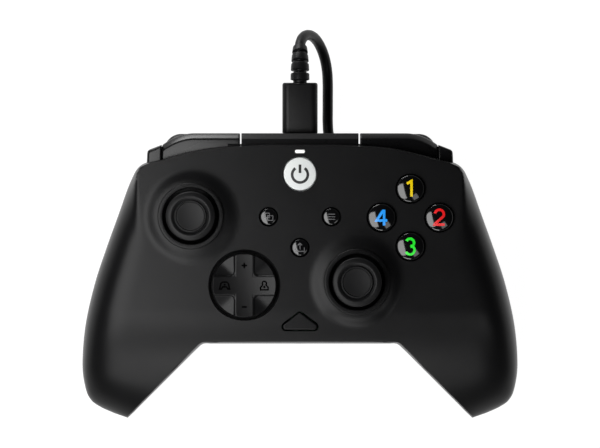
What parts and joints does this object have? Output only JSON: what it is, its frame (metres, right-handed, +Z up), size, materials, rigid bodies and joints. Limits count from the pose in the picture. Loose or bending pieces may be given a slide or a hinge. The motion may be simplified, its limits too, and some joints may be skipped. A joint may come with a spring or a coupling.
{
  "type": "gamepad controller",
  "caption": "Wired hand-held game controller with two grips, thumb sticks, direction pad, buttons, bumpers, triggers and a coiled cable",
  "frame": {"origin": "under the middle of the body, on the table it lies on, measured without the cable", "axes": "+X to the player's right across both grips, +Y to the bumpers and the cable, +Z up out of the face"},
  "size_m": [0.153, 0.1364, 0.06],
  "materials": {
    "shell": "fine-grained matte",
    "edge": "satin",
    "trigger": "fine-grained matte",
    "stick": "matte with fine rings",
    "pad": "satin",
    "button": "clear gloss",
    "home": "satin",
    "lens": "frosted",
    "inner_plastic": "plain",
    "white_plastic": "plain",
    "board": "solder mask",
    "steel": "bright",
    "motor": "plated",
    "weight": "sintered",
    "membrane": "silicone",
    "socket": "plated",
    "cable": "soft matte",
    "plug": "soft moulded"
  },
  "bodies": {
    "root": {"front_shell": "shell", "rear_shell": "shell", "top_bridge": "edge", "shoulder_caps": "edge", "trigger_axles": "steel", "left_trigger_spring": "steel", "right_trigger_spring": "steel", "left_stick_spring": "steel", "right_stick_spring": "steel", "board_screws": "steel", "shell_screws": "steel", "cable_plug_tongue": "steel", "host_plug_shell": "steel", "trigger_brackets": "inner_plastic", "left_stick_base": "inner_plastic", "right_stick_base": "inner_plastic", "stick_sensors": "inner_plastic", "pad_post": "inner_plastic", "press_switches": "inner_plastic", "headset_socket": "inner_plastic", "indicator_lens": "lens", "main_board": "board", "button_membrane": "membrane", "left_rumble_motor": "motor", "right_rumble_motor": "motor", "cable_socket": "socket", "cable": "cable", "cable_coil": "cable", "cable_tail": "cable", "cable_tie": "cable", "cable_plug": "plug", "bend_relief": "plug", "host_plug": "plug"},
    "left_bumper": {"left_bumper": "edge"},
    "right_bumper": {"right_bumper": "edge"},
    "left_trigger": {"left_trigger": "trigger"},
    "right_trigger": {"right_trigger": "trigger"},
    "direction_pad": {"direction_pad": "pad"},
    "pad_pivot": {"pad_pivot": "white_plastic"},
    "top_button": {"top_button": "button"},
    "left_button": {"left_button": "button"},
    "right_button": {"right_button": "button"},
    "bottom_button": {"bottom_button": "button"},
    "view_button": {"view_button": "button"},
    "menu_button": {"menu_button": "button"},
    "share_button": {"share_button": "button"},
    "home_button": {"home_button": "home"},
    "function_button": {"function_button": "pad"},
    "left_rumble_weight": {"left_rumble_weight": "weight"},
    "right_rumble_weight": {"right_rumble_weight": "weight"},
    "left_stick_cap": {"left_stick_cap": "stick"},
    "left_stick_shaft": {"left_stick_shaft": "steel"},
    "left_stick_cradle": {"left_stick_cradle": "white_plastic"},
    "left_stick_yoke": {"left_stick_yoke": "white_plastic"},
    "right_stick_cap": {"right_stick_cap": "stick"},
    "right_stick_shaft": {"right_stick_shaft": "steel"},
    "right_stick_cradle": {"right_stick_cradle": "white_plastic"},
    "right_stick_yoke": {"right_stick_yoke": "white_plastic"}
  },
  "joints": [
    {"name": "left_stick_pitch", "type": "hinge", "parent": "root", "child": "left_stick_cradle", "pos_m": [-0.0383, 0.0209, 0.039], "axis": [1, 0, 0], "range_deg": [-16, 16], "stiffness_Nm_per_rad": 0.05},
    {"name": "left_stick_roll", "type": "hinge", "parent": "left_stick_cradle", "child": "left_stick_shaft", "pos_m": [-0.0383, 0.0209, 0.039], "axis": [0, 1, 0], "range_deg": [-16, 16], "stiffness_Nm_per_rad": 0.05},
    {"name": "left_stick_click", "type": "slide", "parent": "left_stick_shaft", "child": "left_stick_cap", "axis": [0, 0, -1], "range_m": [0, 0.0005], "stiffness_N_per_m": 2000},
    {"name": "left_stick_yoke_roll", "type": "hinge", "parent": "root", "child": "left_stick_yoke", "pos_m": [-0.0383, 0.0209, 0.039], "axis": [0, 1, 0], "range_deg": [-16, 16]},
    {"name": "right_stick_pitch", "type": "hinge", "parent": "root", "child": "right_stick_cradle", "pos_m": [0.02, -0.0022, 0.039], "axis": [1, 0, 0], "range_deg": [-16, 16], "stiffness_Nm_per_rad": 0.05},
    {"name": "right_stick_roll", "type": "hinge", "parent": "right_stick_cradle", "child": "right_stick_shaft", "pos_m": [0.02, -0.0022, 0.039], "axis": [0, 1, 0], "range_deg": [-16, 16], "stiffness_Nm_per_rad": 0.05},
    {"name": "right_stick_click", "type": "slide", "parent": "right_stick_shaft", "child": "right_stick_cap", "axis": [0, 0, -1], "range_m": [0, 0.0005], "stiffness_N_per_m": 2000},
    {"name": "right_stick_yoke_roll", "type": "hinge", "parent": "root", "child": "right_stick_yoke", "pos_m": [0.02, -0.0022, 0.039], "axis": [0, 1, 0], "range_deg": [-16, 16]},
    {"name": "pad_pitch", "type": "hinge", "parent": "root", "child": "pad_pivot", "pos_m": [-0.0195, -0.0034, 0.04], "axis": [1, 0, 0], "range_deg": [-4.5, 4.5], "stiffness_Nm_per_rad": 0.6},
    {"name": "pad_roll", "type": "hinge", "parent": "pad_pivot", "child": "direction_pad", "pos_m": [-0.0195, -0.0034, 0.04], "axis": [0, 1, 0], "range_deg": [-4.5, 4.5], "stiffness_Nm_per_rad": 0.6},
    {"name": "top_button_press", "type": "slide", "parent": "root", "child": "top_button", "axis": [0, 0, -1], "range_m": [0, 0.0013], "stiffness_N_per_m": 500, "deforming": ["button_membrane"]},
    {"name": "left_button_press", "type": "slide", "parent": "root", "child": "left_button", "axis": [0, 0, -1], "range_m": [0, 0.0013], "stiffness_N_per_m": 500},
    {"name": "right_button_press", "type": "slide", "parent": "root", "child": "right_button", "axis": [0, 0, -1], "range_m": [0, 0.0013], "stiffness_N_per_m": 500},
    {"name": "bottom_button_press", "type": "slide", "parent": "root", "child": "bottom_button", "axis": [0, 0, -1], "range_m": [0, 0.0013], "stiffness_N_per_m": 500},
    {"name": "view_button_press", "type": "slide", "parent": "root", "child": "view_button", "axis": [0, 0, -1], "range_m": [0, 0.0005], "stiffness_N_per_m": 1500},
    {"name": "menu_button_press", "type": "slide", "parent": "root", "child": "menu_button", "axis": [0, 0, -1], "range_m": [0, 0.0005], "stiffness_N_per_m": 1500},
    {"name": "share_button_press", "type": "slide", "parent": "root", "child": "share_button", "axis": [0, 0, -1], "range_m": [0, 0.0005], "stiffness_N_per_m": 1500},
    {"name": "home_button_press", "type": "slide", "parent": "root", "child": "home_button", "axis": [0, 0, -1], "range_m": [0, 0.0005], "stiffness_N_per_m": 1500},
    {"name": "function_button_press", "type": "slide", "parent": "root", "child": "function_button", "axis": [0, 0, -1], "range_m": [0, 0.0005], "stiffness_N_per_m": 1500},
    {"name": "left_bumper_press", "type": "hinge", "parent": "root", "child": "left_bumper", "pos_m": [-0.0235, 0.0446, 0.0394], "axis": [0, 0, 1], "range_deg": [0, 1.5], "stiffness_Nm_per_rad": 1.5},
    {"name": "left_trigger_pull", "type": "hinge", "parent": "root", "child": "left_trigger", "pos_m": [-0.03935, 0.0385, 0.0335], "axis": [-1, 0, 0], "range_deg": [0, 18], "stiffness_Nm_per_rad": 0.08, "springref_deg": -5.73},
    {"name": "left_rumble_spin", "type": "hinge", "parent": "root", "child": "left_rumble_weight", "pos_m": [-0.06, -0.016, 0.015], "axis": [0, 1, 0], "continuous": true},
    {"name": "right_bumper_press", "type": "hinge", "parent": "root", "child": "right_bumper", "pos_m": [0.0235, 0.0446, 0.0394], "axis": [0, 0, -1], "range_deg": [0, 1.5], "stiffness_Nm_per_rad": 1.5},
    {"name": "right_trigger_pull", "type": "hinge", "parent": "root", "child": "right_trigger", "pos_m": [0.03935, 0.0385, 0.0335], "axis": [-1, 0, 0], "range_deg": [0, 18], "stiffness_Nm_per_rad": 0.08, "springref_deg": -5.73},
    {"name": "right_rumble_spin", "type": "hinge", "parent": "root", "child": "right_rumble_weight", "pos_m": [0.06, -0.016, 0.015], "axis": [0, 1, 0], "continuous": true}
  ],
  "couplings": [
    {"joint": "left_stick_yoke_roll", "follows": "left_stick_roll", "ratio": 1},
    {"joint": "right_stick_yoke_roll", "follows": "right_stick_roll", "ratio": 1}
  ]
}
